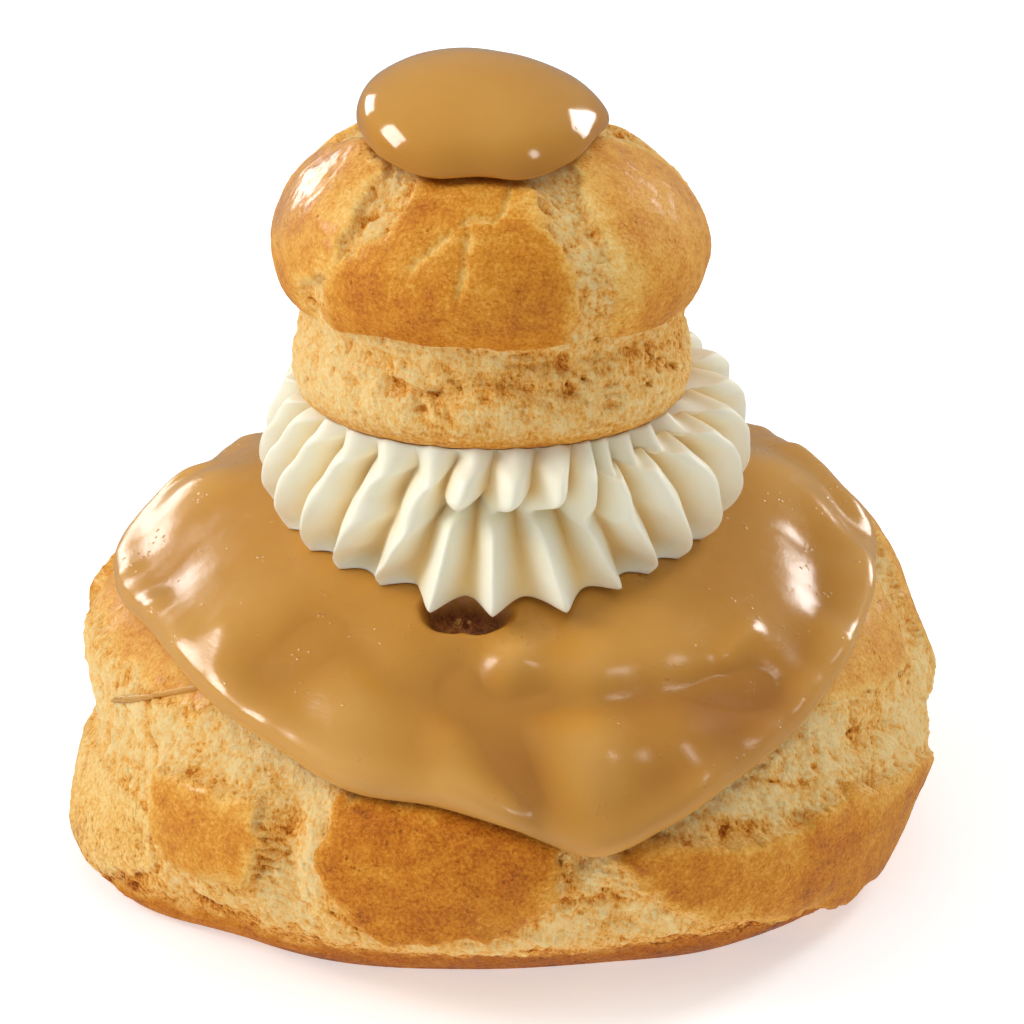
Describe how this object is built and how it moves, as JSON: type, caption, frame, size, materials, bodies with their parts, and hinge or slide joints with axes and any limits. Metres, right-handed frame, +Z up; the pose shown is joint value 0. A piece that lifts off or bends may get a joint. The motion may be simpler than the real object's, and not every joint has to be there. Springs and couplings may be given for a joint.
{
  "type": "religieuse",
  "caption": "Coffee-iced choux pastry: a small choux bun on a large one, each iced, with a collar of piped buttercream between them.",
  "frame": {"origin": "centre of the flat underside", "axes": "+Z up, -Y the front where the icing hangs lowest, +X to the right of the front"},
  "size_m": [0.0818, 0.0796, 0.0774],
  "materials": {
    "choux_crust": "matte golden-brown baked crust, torn paler crumb between its plates",
    "coffee_icing": "glossy poured coffee fondant",
    "butter_cream": "satin ivory piped cream"
  },
  "bodies": {
    "root": {"large_choux": "choux_crust", "large_icing": "coffee_icing", "cream_collar": "butter_cream", "small_choux": "choux_crust", "small_icing": "coffee_icing"}
  },
  "joints": []
}
